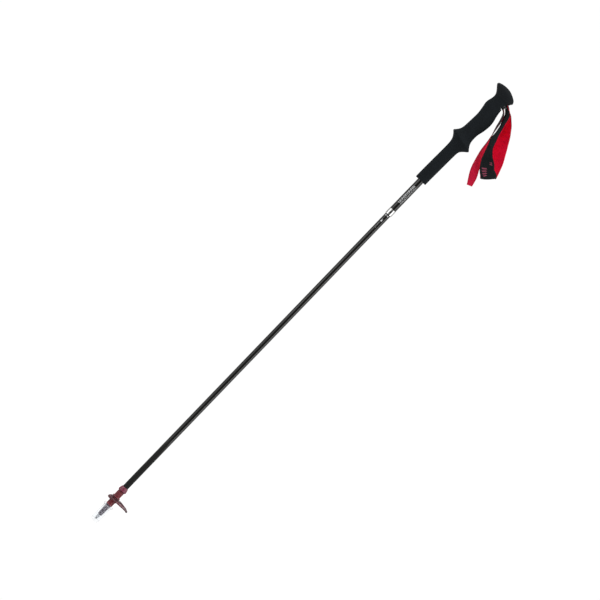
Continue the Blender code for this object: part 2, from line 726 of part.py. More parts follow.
def build_basket(materials, basket):
    shank_bore = 6.3 + GAP
    hub = [
        (shank_bore, HUB_FOOT),
        (7.6, HUB_FOOT),
        (8.0, HUB_FOOT + 0.5),
        (8.0, 60.8),
        (9.5, 61.8),
        (9.5, 64.0),
        (10.0, 64.4),
        (10.0, 66.3),
        (9.5, 66.7),
        (9.5, 69.4),
        (8.0, 69.4),
        (8.0, HUB_TOP - 0.5),
        (7.6, HUB_TOP - 0.2),
        (shank_bore, HUB_TOP - 0.2),
    ]
    add_piece("basket_hub", turned(hub, closed=True), materials["red_plastic"], basket)
    ring = [(DISC_BORE, 72.4), (10.0, 72.4), (10.3, 72.9), (9.9, 74.4), (9.2, 74.9), (DISC_BORE, 74.9)]
    add_piece("basket_snap_ring", turned(ring, closed=True), materials["red_plastic"], basket)

    mesh_data = bmesh.new()
    rings = []
    for share, z, drop in DISC_SECTION:
        angles = [2 * math.pi * i / DISC_SEGMENTS for i in range(DISC_SEGMENTS)]
        rings.append([mesh_data.verts.new((*disc_point(a, share), z - drop * lip_depth(a))) for a in angles])
    join_rings(mesh_data, rings, closed=True)
    disc = add_piece("basket_disc", mesh_data, materials["basket_plastic"], basket)
    for number, window in enumerate(WINDOWS, start=1):
        opening = prism(window_outline(*window), "Z", HUB_FOOT, HUB_TOP)
        combine(disc, add_cutter("cut_window_%d" % number, opening, basket))


# ---------------------------------------------------------------- tip protector

def build_protector(materials, protector):
    """A thin clear cap that pushes on from below: a ring stops at the flange, and a socket takes the steel neck."""
    stop_top = FLANGE_FOOT - GAP
    socket_top = FERRULE_FOOT - 0.8
    floor = TIP_FOOT - 0.4
    cap = [
        (0, 0),
        (5.0, 0),
        (8.6, 1.2),
        (9.9, 4.5),
        (10.0, 43.0),
        (11.2, 44.6),
        (13.2, 46.0),
        (13.4, 48.6),
        (12.6, 50.0),
        (11.2, 50.0),
        (10.6, stop_top + 3),
        (7.5, stop_top + 2),
        (7.5, stop_top),
        (6.3, stop_top),
        (6.3, stop_top - 1.5),
        (8.9, stop_top - 3),
        (8.8, floor + 2.5),
        (7.6, floor + 1.4),
        (4.7, floor + 1.4),
        (4.6, socket_top),
        (3.5, socket_top),
        (3.4, TIP_FOOT + 4),
        (2.7, floor),
        (0, floor),
    ]
    add_piece("tip_protector", turned(cap), materials["clear_plastic"], protector)


def clear_scene():
    for item in list(bpy.data.objects):
        bpy.data.objects.remove(item, do_unlink=True)


def main():
    clear_scene()
    materials = make_materials()
    pin = (PIN_X, 0, PIN_Z)
    axis_at_lock = (0, 0, (LOCK_FOOT + LOCK_TOP) / 2)
    axis_at_tip = (0, 0, HUB_FOOT)

    grip = make_body("grip", (0, 0, 0))
    wedge = make_body("wedge", pin, grip)
    strap = make_body("strap", pin, wedge)
    expander = make_body("expander", axis_at_lock, grip)
    cone = make_body("cone", axis_at_lock, expander)
    lower = make_body("lower_section", axis_at_lock, expander)
    basket = make_body("basket", axis_at_tip, lower)
    protector = make_body("protector", axis_at_tip, lower)

    build_grip(materials, grip)
    build_upper_tube(materials, grip)
    build_strap(materials, wedge, strap)
    build_lock(materials, expander, cone, lower)
    build_lower_section(materials, lower)
    build_basket(materials, basket)
    build_protector(materials, protector)


main()
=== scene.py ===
"""The looks of the two-section ski pole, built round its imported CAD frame.

Outline points are in millimetres in the row frame, and MM turns them into metres. The pole's axis is Z, the
strap hangs on the +X side, and the camera looks along +Y with the pole leaning to the right.
"""

import json
import math

import bmesh
import bpy
import numpy as np
from mathutils import Matrix, Vector

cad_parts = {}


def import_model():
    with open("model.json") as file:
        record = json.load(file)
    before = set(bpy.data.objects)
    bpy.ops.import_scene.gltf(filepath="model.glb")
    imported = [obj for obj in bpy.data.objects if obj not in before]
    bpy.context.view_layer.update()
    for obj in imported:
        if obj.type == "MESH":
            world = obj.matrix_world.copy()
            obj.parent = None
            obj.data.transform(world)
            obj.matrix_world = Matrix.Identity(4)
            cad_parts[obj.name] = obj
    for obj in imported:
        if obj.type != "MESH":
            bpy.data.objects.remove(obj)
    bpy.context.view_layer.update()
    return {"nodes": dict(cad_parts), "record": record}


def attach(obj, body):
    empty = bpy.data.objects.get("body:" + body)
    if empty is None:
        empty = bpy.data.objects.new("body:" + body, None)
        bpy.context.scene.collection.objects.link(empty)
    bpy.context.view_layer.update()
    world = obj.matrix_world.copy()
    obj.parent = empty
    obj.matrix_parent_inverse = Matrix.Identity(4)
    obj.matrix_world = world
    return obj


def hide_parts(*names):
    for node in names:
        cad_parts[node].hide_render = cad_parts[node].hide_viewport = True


MM = 0.001
SMOOTH_ANGLE = math.radians(38)
CLOTH_ANGLE = math.radians(60)  # cloth shades smooth over sharper bends
ROUND = 96


# ---------------------------------------------------------------- node materials

FINISHES = {}  # every node material by name


def connect(tree, value, target):
    """Sets an input to a value, or links it where the value is another node's output."""
    if isinstance(value, bpy.types.NodeSocket):
        tree.links.new(value, target)
    else:
        target.default_value = value


def add_node(tree, kind, inputs=None, **settings):
    """A node with its settings, and its inputs connected by name or number."""
    made = tree.nodes.new(kind)
    for name, value in settings.items():
        setattr(made, name, value)
    for socket, value in (inputs or {}).items():
        connect(tree, value, made.inputs[socket])
    return made


def color_ramp(tree, source, stops):
    """The colour at source between stops of (position, colour)."""
    made = add_node(tree, "ShaderNodeValToRGB", {"Fac": source})
    band = made.color_ramp
    while len(band.elements) < len(stops):
        band.elements.new(0.5)
    for element, (position, color) in zip(band.elements, stops):
        element.position = position
        element.color = (*color, 1.0)
    return made.outputs["Color"]


class Finish:
    """A Principled material whose colour, roughness and bump come from nodes."""

    def __init__(self, name, color, roughness, metallic=0.0, **constants):
        material = bpy.data.materials.new(name)
        material.use_nodes = True
        FINISHES[name] = material
        self.tree = material.node_tree
        self.shader = self.tree.nodes["Principled BSDF"]
        self.place = self.node("ShaderNodeTexCoord").outputs["Object"]  # the row frame's own coordinates, in metres
        self.color = color
        self.height = None
        self.put(Base_Color=(*color, 1.0), Roughness=roughness, Metallic=metallic, **constants)

    def put(self, **values):
        """Sets or links the shader's inputs, which are named with underscores for spaces."""
        for socket, value in values.items():
            connect(self.tree, value, self.shader.inputs[socket.replace("_", " ")])

    def node(self, kind, inputs=None, **settings):
        return add_node(self.tree, kind, inputs, **settings)

    def split(self, source):
        """The X, Y and Z of source."""
        return self.node("ShaderNodeSeparateXYZ", {"Vector": source}).outputs[:3]

    def stretched(self, scale):
        return self.node("ShaderNodeMapping", {"Vector": self.place, "Scale": scale}).outputs["Vector"]

    def noise(self, scale, detail=3.0, roughness=0.55, source=None):
        inputs = {"Vector": source or self.place, "Scale": scale, "Detail": detail, "Roughness": roughness}
        return self.node("ShaderNodeTexNoise", inputs).outputs["Fac"]

    def cells(self, scale):
        return self.node("ShaderNodeTexVoronoi", {"Vector": self.place, "Scale": scale}).outputs["Distance"]

    def math(self, operation, first, second=0.5):
        return self.node("ShaderNodeMath", {0: first, 1: second}, operation=operation).outputs["Value"]

    def shade(self, source, low, high, stops=(0.3, 0.7)):
        """Base colour from low to high times the material's own colour, led by source."""
        dark = tuple(c * low for c in self.color)
        light = tuple(min(c * high, 1.0) for c in self.color)
        color = color_ramp(self.tree, source, [(stops[0], dark), (stops[1], light)])
        self.put(Base_Color=color)
        return color

    def rough(self, source, low, high, span=(0.3, 0.7)):
        inputs = {"Value": source, "From Min": span[0], "From Max": span[1], "To Min": low, "To Max": high}
        self.put(Roughness=self.node("ShaderNodeMapRange", inputs).outputs["Result"])

    def bump(self, source, distance, strength=1.0):
        """A height map in metres. Each further call lies on top of the one before."""
        inputs = {"Height": source, "Distance": distance, "Strength": strength}
        if self.height is not None:
            inputs["Normal"] = self.height
        self.height = self.node("ShaderNodeBump", inputs).outputs["Normal"]
        self.put(Normal=self.height)

    def clouded(self, clouds, shades, grain, roughness=None):
        """Lighter and duller clouds over a fine grain: the two noises, then the grain's bump."""
        source = self.noise(*clouds)
        self.shade(source, *shades)
        if roughness:
            self.rough(source, *roughness)
        self.bump(self.noise(*grain[:2]), *grain[2:])


def foam_finish():
    """Closed-cell foam: skin pulled smooth by moulding, with fine pits and paler flecks."""
    made = Finish("foam", (0.0085, 0.0108, 0.0128), 0.86, Specular_IOR_Level=0.12, Sheen_Weight=0.03,
                  Sheen_Roughness=0.6, Sheen_Tint=(0.55, 0.62, 0.70, 1.0))
    flecks = made.noise(900, 2.0)
    clouds = made.noise(45, 4.0)
    mixed = made.math("ADD", made.math("MULTIPLY", flecks, 0.65), made.math("MULTIPLY", clouds, 0.35))
    made.shade(mixed, 0.72, 1.55, (0.36, 0.66))
    made.rough(clouds, 0.80, 0.93)
    made.bump(made.cells(1300), 0.00012, 0.7)
    made.bump(flecks, 0.00010, 0.6)


def head_finish():
    made = Finish("head_rubber", (0.0085, 0.0105, 0.0125), 0.66, Specular_IOR_Level=0.16)
    made.clouded((70, 5.0, 0.7), (0.85, 1.35, (0.38, 0.70)), (1500, 2.0, 0.00006, 0.6), (0.62, 0.80))


def moulded_finish(name, color, roughness):
    """Moulded plastic: an eroded mould's fine grain and a little cloudiness."""
    made = Finish(name, color, roughness)
    made.clouded((120, 3.0), (0.86, 1.14), (900, 2.0, 0.00003, 0.5), (roughness * 0.88, min(roughness * 1.15, 1.0)))


def carbon_finish():
    """Twill carbon under a clear coat. The twill follows the tube round its axis."""
    made = Finish("carbon", (0.0060, 0.0060, 0.0052), 0.34, Specular_IOR_Level=0.10, Coat_Weight=0.80,
                  Coat_Roughness=0.06, Coat_IOR=1.5)
    x, y, z = made.split(made.place)
    turn = made.math("ARCTAN2", y, x)
    tows_round = 28
    tow = 0.0018
    around = made.math("MULTIPLY", turn, tows_round / 2)
    along = made.math("MULTIPLY", z, math.pi / tow)
    diagonal = made.math("SINE", made.math("ADD", around, along))
    cross = made.math("SINE", made.math("SUBTRACT", around, along))
    twill = made.math("MULTIPLY", made.math("ADD", diagonal, made.math("MULTIPLY", cross, 0.55)), 0.5)
    level = made.math("ADD", twill, 0.5)
    made.shade(level, 0.55, 1.9, (0.15, 0.95))
    made.rough(level, 0.30, 0.42, (0.0, 1.0))
    made.bump(level, 0.00004, 0.35)
    made.bump(made.noise(300, 2.0, source=made.stretched((1, 1, 0.1))), 0.00001, 0.3)


def metal_finish(name, color, roughness, stretch, scale, depth=0.00002):
    """Turned or ground metal: fine marks along the cut, and patches of slightly different polish."""
    made = Finish(name, color, roughness, 1.0)
    marks = made.noise(scale, 3.0, 0.6, made.stretched(stretch))
    patches = made.noise(160, 3.0)
    made.shade(patches, 0.90, 1.06)
    made.rough(marks, roughness * 0.75, roughness * 1.35)
    made.bump(marks, depth, 0.5)


def cloth_finish(name, color, pitch, roughness=0.82, dark=0.55, light=1.15, sheen=0.35, tint=(1, 1, 1),
                 other_face=None):
    """Woven webbing. The cloth attribute holds millimetres across the band, along it and off its middle."""
    made = Finish(name, color, roughness, Specular_IOR_Level=0.25, Sheen_Weight=sheen, Sheen_Roughness=0.45,
                  Sheen_Tint=(*tint, 1.0))
    cloth = made.node("ShaderNodeAttribute", attribute_name="cloth").outputs["Vector"]
    x, y, z = made.split(cloth)
    across = made.math("MULTIPLY", x, 2 * math.pi / pitch)
    along = made.math("MULTIPLY", y, 2 * math.pi / (pitch * 1.15))
    twist = made.math("MULTIPLY", made.math("SINE", made.math("MULTIPLY", across, 0.5)), 0.9)
    warp = made.math("SINE", across)
    weft = made.math("SINE", made.math("ADD", along, twist))
    weave = made.math("ADD", made.math("MULTIPLY", made.math("MULTIPLY", warp, weft), 0.5), 0.5)
    fuzz = made.noise(2.6, 3.0, 0.7, cloth)
    wear = made.noise(60, 4.0, 0.6)
    level = made.math("ADD", made.math("MULTIPLY", weave, 0.55), made.math("MULTIPLY", fuzz, 0.25))
    level = made.math("ADD", level, made.math("MULTIPLY", wear, 0.20))
    shades = made.shade(level, dark, light, (0.22, 0.74))
    if other_face:
        dark_face = tuple(c * dark for c in other_face)
        other_shades = color_ramp(made.tree, level, [(0.22, dark_face), (0.74, other_face)])
        inputs = {"Factor": made.math("LESS_THAN", z, 0.0), "A": shades, "B": other_shades}
        made.put(Base_Color=made.node("ShaderNodeMix", inputs, data_type="RGBA").outputs["Result"])
    made.rough(fuzz, roughness * 0.92, min(roughness * 1.12, 1.0))
    made.bump(weave, 0.00022, 0.8)
    made.bump(fuzz, 0.00010, 0.5)


def thread_finish(name, color):
    made = Finish(name, color, 0.6, Specular_IOR_Level=0.4)
    made.clouded((2500, 2.0), (0.75, 1.2), (4000, 1.0, 0.00004, 0.6))


def print_finish(name, color):
    """Screen printing: nearly opaque, a little worn at random."""
    made = Finish(name, color, 0.45)
    made.clouded((1400, 4.0, 0.7), (0.80, 1.05, (0.30, 0.55)), (2000, 2.0, 0.00001, 0.4))


def clear_finish():
    """The clear protector, with faint moulding streaks."""
    made = Finish("clear_plastic", (0.93, 0.94, 0.95), 0.02, Transmission_Weight=1.0, IOR=1.22)
    streaks = made.noise(220, 3.0, source=made.stretched((1, 1, 0.25)))
    made.shade(streaks, 0.97, 1.05)
    made.rough(streaks, 0.02, 0.07)
    made.bump(streaks, 0.00001, 0.2)


def tinted_finish(name, color, transmission, roughness):
    """Translucent coloured plastic."""
    made = Finish(name, color, roughness, Transmission_Weight=transmission, IOR=1.46)
    made.clouded((150, 3.0), (0.82, 1.15), (1100, 2.0, 0.00003, 0.4), (roughness * 0.8, roughness * 1.3))


def basket_finish():
    """Translucent red plastic that darkens with the depth of plastic looked through."""
    made = Finish("basket_plastic", (0.42, 0.24, 0.27), 0.30, Transmission_Weight=0.80, IOR=1.30)
    made.clouded((150, 3.0), (0.86, 1.10), (900, 2.0, 0.00002, 0.4), (0.24, 0.38))
    depth = made.node("ShaderNodeVolumeAbsorption", {"Color": (0.50, 0.08, 0.12, 1.0), "Density": 420.0})
    connect(made.tree, depth.outputs["Volume"], made.tree.nodes["Material Output"].inputs["Volume"])


def make_finishes():
    foam_finish()
    head_finish()
    moulded_finish("core_plastic", (0.022, 0.022, 0.024), 0.50)
    carbon_finish()
    metal_finish("collar_metal", (0.66, 0.66, 0.65), 0.09, (1, 1, 14), 260)
    metal_finish("steel", (0.52, 0.53, 0.55), 0.30, (1, 1, 10), 400)
    metal_finish("carbide", (0.30, 0.30, 0.31), 0.42, (1, 1, 1), 1800, 0.00004)
    cloth_finish("black_fabric", (0.0075, 0.0095, 0.0110), 1.5, sheen=0.02, tint=(0.6, 0.7, 0.8))
    cloth_finish("red_fabric", (0.94, 0.0008, 0.052), 1.3, 0.82, 0.78, 1.05, 0.0, (1.0, 0.5, 0.5))
    # The free end's red is a darker copy of the red fabric: its own coarser weave, with painted shade darkening its
    # colour.
    cloth_finish("shaded_tail_fabric", (0.66, 0.0025, 0.042), 1.6, 0.78, 0.66, 1.08, 0.02, (1.0, 0.5, 0.55),
                 other_face=(0.026, 0.012, 0.018))
    moulded_finish("lock_plastic", (0.58, 0.57, 0.52), 0.45)
    tinted_finish("grey_plastic", (0.175, 0.160, 0.190), 0.05, 0.50)
    tinted_finish("red_plastic", (0.25, 0.038, 0.050), 0.15, 0.34)
    tinted_finish("cup_plastic", (0.34, 0.060, 0.115), 0.35, 0.28)
    basket_finish()
    clear_finish()
    print_finish("white_print", (0.80, 0.81, 0.82))
    print_finish("pink_print", (0.30, 0.055, 0.10))
    thread_finish("black_thread", (0.030, 0.033, 0.037))
    thread_finish("red_thread", (0.42, 0.006, 0.03))


# ---------------------------------------------------------------- mesh building

def new_object(name, data):
    made = bpy.data.objects.new(name, data)
    bpy.context.scene.collection.objects.link(made)
    return made


def add_piece(name, mesh, body, slot, replaced=(), finish=None):
    """Hangs a mesh, or mesh data still in millimetres, on its CAD body in place of the CAD nodes named.

    Its material is the slot's own unless finish names another.
    """
    if isinstance(mesh, bmesh.types.BMesh):
        mesh = finished_mesh(name, mesh)
    mesh.materials.clear()
    mesh.materials.append(FINISHES[finish or slot])
    piece = new_object(name, mesh)
    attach(piece, body)
    if replaced:
        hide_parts(*replaced)
    return piece


def finished_mesh(name, mesh_data, sharp=SMOOTH_ANGLE):
    """A mesh in metres from one that was drawn in millimetres, smooth apart from its sharp edges."""
    bmesh.ops.remove_doubles(mesh_data, verts=mesh_data.verts, dist=1e-4)
    bmesh.ops.recalc_face_normals(mesh_data, faces=mesh_data.faces)
    bmesh.ops.scale(mesh_data, vec=(MM, MM, MM), verts=mesh_data.verts)
    mesh = bpy.data.meshes.new(name)
    mesh_data.to_mesh(mesh)
    mesh_data.free()
    mesh.shade_smooth()
    mesh.set_sharp_from_angle(angle=sharp)
    return mesh


def join_rows(mesh_data, rows, closed_rows=False, caps=True):
    """Quads from each closed row of vertices to the next, and a cap on the first and the last."""
    pairs = list(zip(rows, rows[1:]))
    if closed_rows:
        pairs.append((rows[-1], rows[0]))
    count = len(rows[0])
    for low, high in pairs:
        for i in range(count):
            j = (i + 1) % count
            mesh_data.faces.new((low[i], low[j], high[j], high[i]))
    if caps and not closed_rows:
        mesh_data.faces.new(rows[0])
        mesh_data.faces.new(rows[-1])


def skin(rings, closed_rows=False, caps=True):
    """A mesh over rings of points."""
    mesh_data = bmesh.new()
    rows = [[mesh_data.verts.new(point) for point in ring] for ring in rings]
    join_rows(mesh_data, rows, closed_rows, caps)
    return mesh_data


def append_mesh(mesh_data, made):
    """Adds the made mesh data to mesh_data and frees it."""
    carrier = bpy.data.meshes.new("carrier")
    made.to_mesh(carrier)
    made.free()
    mesh_data.from_mesh(carrier)
    bpy.data.meshes.remove(carrier)


def around(segments):
    return [2 * math.pi * i / segments for i in range(segments)]


def polar(radius, angle, z):
    return radius * math.cos(angle), radius * math.sin(angle), z


def filleted(points, radius, closed, steps=4):
    """The outline with its corners rounded by curves that start the given distance from each."""
    result = []
    count = len(points)
    for i, point in enumerate(points):
        if not closed and i in (0, count - 1):
            result.append(point)
            continue
        here = Vector(point)
        before, after = Vector(points[i - 1]), Vector(points[(i + 1) % count])
        start = here + (before - here).normalized() * min(radius, (before - here).length * 0.45)
        end = here + (after - here).normalized() * min(radius, (after - here).length * 0.45)
        for step in range(steps + 1):
            t = step / steps
            result.append(tuple(start * (1 - t) ** 2 + here * (2 * t * (1 - t)) + end * t ** 2))
    return result


def turned(name, profile, closed=False, radius=0.4, segments=ROUND, shape=None):
    """A rounded profile of (radius, z) turned round Z. Shape changes the radius by angle and z."""
    outline = filleted(profile, radius, closed)
    rings = []
    for r, z in outline:
        rings.append([polar(shape(r, z, angle) if shape and r > 0 else r, angle, z) for angle in around(segments)])
    return finished_mesh(name, skin(rings, closed_rows=closed, caps=False))


def add_turned(name, profile, body, slot, node, finish=None, **options):
    """A turned piece that stands for one CAD node."""
    add_piece(name, turned(name, profile, **options), body, slot, [node], finish)


def smooth_rows(rows, per_span):
    """Rows of numbers on a Catmull-Rom curve through the given rows."""
    result = []
    last = len(rows) - 1
    for i in range(last):
        a, b, c, d = (np.array(rows[k], float) for k in (max(i - 1, 0), i, i + 1, min(i + 2, last)))
        for step in range(per_span):
            t = step / per_span
            point = 2 * b + (c - a) * t + (2 * a - 5 * b + 4 * c - d) * t ** 2 + (3 * b - a - 3 * c + d) * t ** 3
            result.append(tuple(0.5 * point))
    result.append(tuple(float(value) for value in rows[last]))
    return result


def oval_rings(sections, squareness, segments):
    """Rings through tilted oval sections (x left, z left, x right, z right, half depth)."""
    rings = []
    for x_left, z_left, x_right, z_right, half_depth in sections:
        ring = []
        for angle in around(segments):
            across = math.copysign(abs(math.cos(angle)) ** (2 / squareness), math.cos(angle))
            deep = math.copysign(abs(math.sin(angle)) ** (2 / squareness), math.sin(angle))
            share = 0.5 * (1 + across)
            x, z = x_left + (x_right - x_left) * share, z_left + (z_right - z_left) * share
            ring.append((x, half_depth * deep, z))
        rings.append(ring)
    return rings


def cutter_box(low, high, radius):
    """A box with rounded edges along X, to cut a slot."""
    corners = [(low[1], low[2]), (high[1], low[2]), (high[1], high[2]), (low[1], high[2])]
    outline = filleted(corners, radius, True, 5)
    rings = [[(x, y, z) for y, z in outline] for x in (low[0], high[0])]
    return finished_mesh("cutter", skin(rings))


def subtract(piece_mesh, *cutters):
    """The mesh less its cutters, which are removed."""
    holder = new_object("cutting", piece_mesh)
    helpers = []
    for mesh in cutters:
        helper = new_object("cutter", mesh)
        helpers.append(helper)
        modifier = holder.modifiers.new("cut", "BOOLEAN")
        modifier.operation = "DIFFERENCE"
        modifier.object = helper
    graph = bpy.context.evaluated_depsgraph_get()
    result = bpy.data.meshes.new_from_object(holder.evaluated_get(graph))
    for item in [holder, *helpers]:
        bpy.data.objects.remove(item)
    result.shade_smooth()
    result.set_sharp_from_angle(angle=SMOOTH_ANGLE)
    return result


# ---------------------------------------------------------------- grip

GRIP_SECTIONS = [
    (-13.2, 1061.0, 12.4, 1061.0, 12.8),
    (-14.4, 1061.4, 13.6, 1061.4, 14.0),
    (-15.0, 1062.8, 14.2, 1062.8, 14.6),
    (-15.0, 1080, 14.4, 1080, 14.7),
    (-14.6, 1105, 15.0, 1105, 14.8),
    (-14.0, 1130, 15.5, 1130, 14.8),
    (-13.6, 1150, 16.0, 1148, 15.0),
    (-13.6, 1163, 16.6, 1160, 15.3),
    (-14.2, 1172, 18.5, 1167, 16.2),
    (-16.5, 1181, 24.0, 1173.5, 18.6),
    (-22.0, 1189.5, 30.2, 1178.5, 21.6),
    (-26.8, 1195, 33.0, 1182, 23.4),
    (-23.8, 1199.5, 30.0, 1186, 21.6),
    (-19.5, 1205, 25.4, 1192.5, 18.9),
    (-16.6, 1211, 22.3, 1200, 17.1),
    (-15.0, 1219, 21.2, 1210, 16.2),
    (-14.3, 1229, 21.8, 1223, 15.9),
    (-13.6, 1241, 25.4, 1238, 16.2),
    (-13.0, 1258, 27.6, 1256, 16.9),
    (-14.0, 1270, 26.6, 1269, 16.8),
    (-15.8, 1281, 24.0, 1280, 16.4),
    (-17.2, 1290, 22.2, 1290, 16.2),
    (-16.0, 1299, 21.2, 1299, 16.3),
    (-13.9, 1307, 21.2, 1307, 16.7),
    (-13.3, 1313, 22.5, 1313, 17.1),
    (-13.6, 1317.5, 25.5, 1317.5, 17.6),
]
HEAD_SECTIONS = [
    (-13.7, 1317.8, 25.8, 1317.8, 17.7),
    (-15.0, 1321, 28.6, 1321, 18.4),
    (-17.6, 1325, 30.2, 1325, 19.6),
    (-21.5, 1330, 29.6, 1330, 20.6),
    (-25.3, 1334.5, 26.6, 1334.5, 20.8),
    (-27.6, 1338.3, 21.0, 1338.3, 19.8),
    (-26.0, 1341.5, 15.0, 1341.5, 17.0),
    (-20.0, 1344, 8.5, 1344, 12.5),
    (-12.0, 1345.6, 2.0, 1345.6, 6.5),
    (-5.0, 1346, -5.0, 1346, 0.01),
]
GRIP_SQUARENESS = 2.5
TUBE_ROOM = 8.3
CORE_ROOM = (10.9, 1261.7, 1294.0)  # radius, foot, top


def build_grip():
    slot_low, slot_high = (8.6, -11.2, 1300.5), (45.0, 11.2, 1326.0)
    tube_room = turned("tube_room", [(0, 1050), (TUBE_ROOM, 1050), (TUBE_ROOM, 1316), (0, 1316)], radius=0)
    radius, foot, top = CORE_ROOM
    core_room = turned("core_room", [(0, foot), (radius, foot), (radius, top), (0, top)], radius=0)
    block_room = [(-11.3, z, 17.8, z, 13.9) for z in (1293.7, 1331.3)]
    block_cut = finished_mesh("block_room", skin(oval_rings(block_room, 2.6, 48)))

    foam = finished_mesh("grip_foam_skin", skin(oval_rings(smooth_rows(GRIP_SECTIONS, 5), GRIP_SQUARENESS, 120)))
    slot = cutter_box(slot_low, slot_high, 2.0)
    foam = subtract(foam, tube_room, core_room, block_cut.copy(), slot.copy())
    add_piece("grip_foam_skin", foam, "grip", "foam", ["grip_foam"])

    dome = skin(oval_rings(smooth_rows(HEAD_SECTIONS, 6), GRIP_SQUARENESS, 120))
    dome = subtract(finished_mesh("grip_head_cap", dome), block_cut, slot)
    add_piece("grip_head_cap", dome, "grip", "head_rubber", ["grip_head"])


# ---------------------------------------------------------------- tubes and collar

def arc_patch(mesh_data, radius, lift, z_low, z_high, start, end, slant=0.0, steps=6):
    """A thin closed plate on a tube. Angles are in degrees from -Y, and slant moves its top round the tube."""
    layers = []
    for level in (radius, radius + lift):
        for z, shift in ((z_low, 0.0), (z_high, slant)):
            row = []
            for i in range(steps + 1):
                angle = math.radians(start + (end - start) * i / steps + shift - 90)
                row.append(mesh_data.verts.new(polar(level, angle, z)))
            layers.append(row)
    inner_low, inner_high, outer_low, outer_high = layers
    for i in range(steps):
        mesh_data.faces.new((inner_low[i], inner_low[i + 1], inner_high[i + 1], inner_high[i]))
        mesh_data.faces.new((outer_low[i], outer_high[i], outer_high[i + 1], outer_low[i + 1]))
        mesh_data.faces.new((inner_low[i], outer_low[i], outer_low[i + 1], inner_low[i + 1]))
        mesh_data.faces.new((inner_high[i], inner_high[i + 1], outer_high[i + 1], outer_high[i]))
    for i in (0, steps):
        mesh_data.faces.new((inner_low[i], inner_high[i], outer_high[i], outer_low[i]))


def build_tubes():
    upper = [(7.2, 956), (8.0, 956), (8.0, 1322), (7.2, 1322)]
    add_turned("upper_tube_skin", upper, "grip", "carbon", "upper_tube", closed=True, radius=0.2)
    lower = [(6.2, 92.3), (7.0, 92.3), (7.0, 1055), (6.2, 1055)]
    add_turned("lower_tube_skin", lower, "lower_section", "carbon", "lower_tube", closed=True, radius=0.2)

    collar = [
        (7.15, 954.6), (8.3, 954.6), (8.7, 955.0), (8.7, 957.4), (8.45, 957.7), (8.45, 958.3), (8.7, 958.6),
        (8.7, 966.0), (8.45, 966.3), (8.45, 966.9), (8.7, 967.2), (8.7, 969.6), (8.4, 970.0), (8.2, 970.0),
        (8.2, 955.7), (7.15, 955.7),
    ]
    add_turned("tube_collar_ring", collar, "grip", "collar_metal", "tube_collar", closed=True, radius=0.18)
    build_prints()


def build_prints():
    """Generic print: rows of slanted bars and thin marks on the upper tube, and a length scale on the lower one."""
    lift = 0.03
    upper = bmesh.new()
    bar_foot, bar_pitch = 991.0, 5.8
    for number in range(9):
        z = bar_foot + number * bar_pitch
        arc_patch(upper, 8.0, lift, z, z + 4.6, -36, -2, 9)
        arc_patch(upper, 8.0, lift, z + 0.6, z + 1.7, 6, 40 - 9 * (number % 2), 9)
        arc_patch(upper, 8.0, lift, z + 3.2, z + 4.0, 4, 30 + 7 * (number % 3), 9)
    add_piece("upper_tube_print", upper, "grip", "carbon", finish="white_print")

    lower = bmesh.new()
    for number in range(8):
        z = 914.0 + number * 2.0
        reach = -6 if number % 4 == 0 else -12
        arc_patch(lower, 7.0, lift, z, z + 0.6, -20, reach)
    arc_patch(lower, 7.0, lift, 932.6, 936.6, -25, 0, steps=10)
    arc_patch(lower, 7.0, lift, 938.0, 939.2, -20, -6)
    arc_patch(lower, 7.0, lift, 949.9, 952.2, -42, -16)
    arc_patch(lower, 7.0, lift, 949.9, 952.2, 6, 32)
    add_piece("lower_tube_scale", lower, "lower_section", "carbon", finish="white_print")


# ---------------------------------------------------------------- wrist strap

# A row is x, y, z, width, lean and twist, as in the CAD: lean is the angle of the band's width from +X
# in the XZ plane, and twist is how far its +X edge is turned towards -Y.
FRONT_LEG = [
    (25.9, 0.0, 1312.0, 17.0, 55, 74),
    (33.0, -1.5, 1307.0, 18.0, 48, 64),
    (39.5, -4.5, 1299.0, 20.0, 27, 58),
    (45.5, -9.0, 1280.0, 22.0, 16, 68),
    (50.3, -13.0, 1260.0, 24.0, 12, 68),
    (53.3, -15.0, 1243.0, 26.0, 14, 63),
    (58.3, -16.0, 1228.0, 28.0, 21, 63),
    (64.5, -16.5, 1214.5, 30.0, 28, 59),
    (71.5, -15.5, 1203.0, 32.0, 37, 48),
    (82.0, -12.0, 1191.5, 34.0, 43, 27),
    (91.0, -8.5, 1180.5, 33.5, 44, 12),
]
FOLD_CENTRE = (102.9, 0.0, 1173.5)
FOLD_RADIUS = 5.0
FOLD_LEAN = 44
FOLD_WIDTH = 36.5
FOLD_STEPS = 16
REAR_LEG = [
    (98.3, 9.5, 1188.3, 37.5, 23, 10),
    (91.0, 13.0, 1210.0, 37.0, 23, 14),
    (80.8, 15.0, 1231.0, 35.5, 24, 14),
    (70.7, 15.5, 1251.5, 34.0, 25, 20),
    (64.6, 14.5, 1268.0, 31.0, 30, 33),
    (57.9, 12.5, 1281.0, 28.0, 33, 44),
    (50.0, 9.5, 1293.0, 25.0, 36, 55),
    (42.0, 6.0, 1304.0, 22.0, 42, 72),
    (33.5, 2.5, 1312.0, 19.0, 50, 92),
    (26.0, 0.5, 1317.3, 17.0, 63, 95),
    (20.5, 0.0, 1318.7, 17.0, 80, 90),
]
TAIL = [
    (20.5, 0.0, 1303.8, 16.0, 90, -90),
    (25.5, 0.5, 1302.6, 16.5, 60, -94),
    (31.0, 1.5, 1296.5, 18.0, 37, -99),
    (37.0, 3.0, 1281.0, 20.0, 19, -101),
    (41.0, 4.5, 1262.0, 21.0, 12, -98),
    (45.0, 5.5, 1244.0, 21.0, 12, -87),
    (50.0, 6.0, 1226.0, 21.0, 13, -72),
    (54.5, 6.5, 1207.0, 21.0, 15, -60),
    (61.5, 6.5, 1186.0, 21.0, 22, -40),
    (70.0, 5.5, 1165.0, 21.0, 27, -20),
    (78.5, 4.5, 1148.0, 19.5, 26, -12),
    (86.5, 4.0, 1129.0, 13.0, 21, -10),
]
PIN = (19.0, 0.0, 1311.0)
ROWS_PER_SPAN = 10
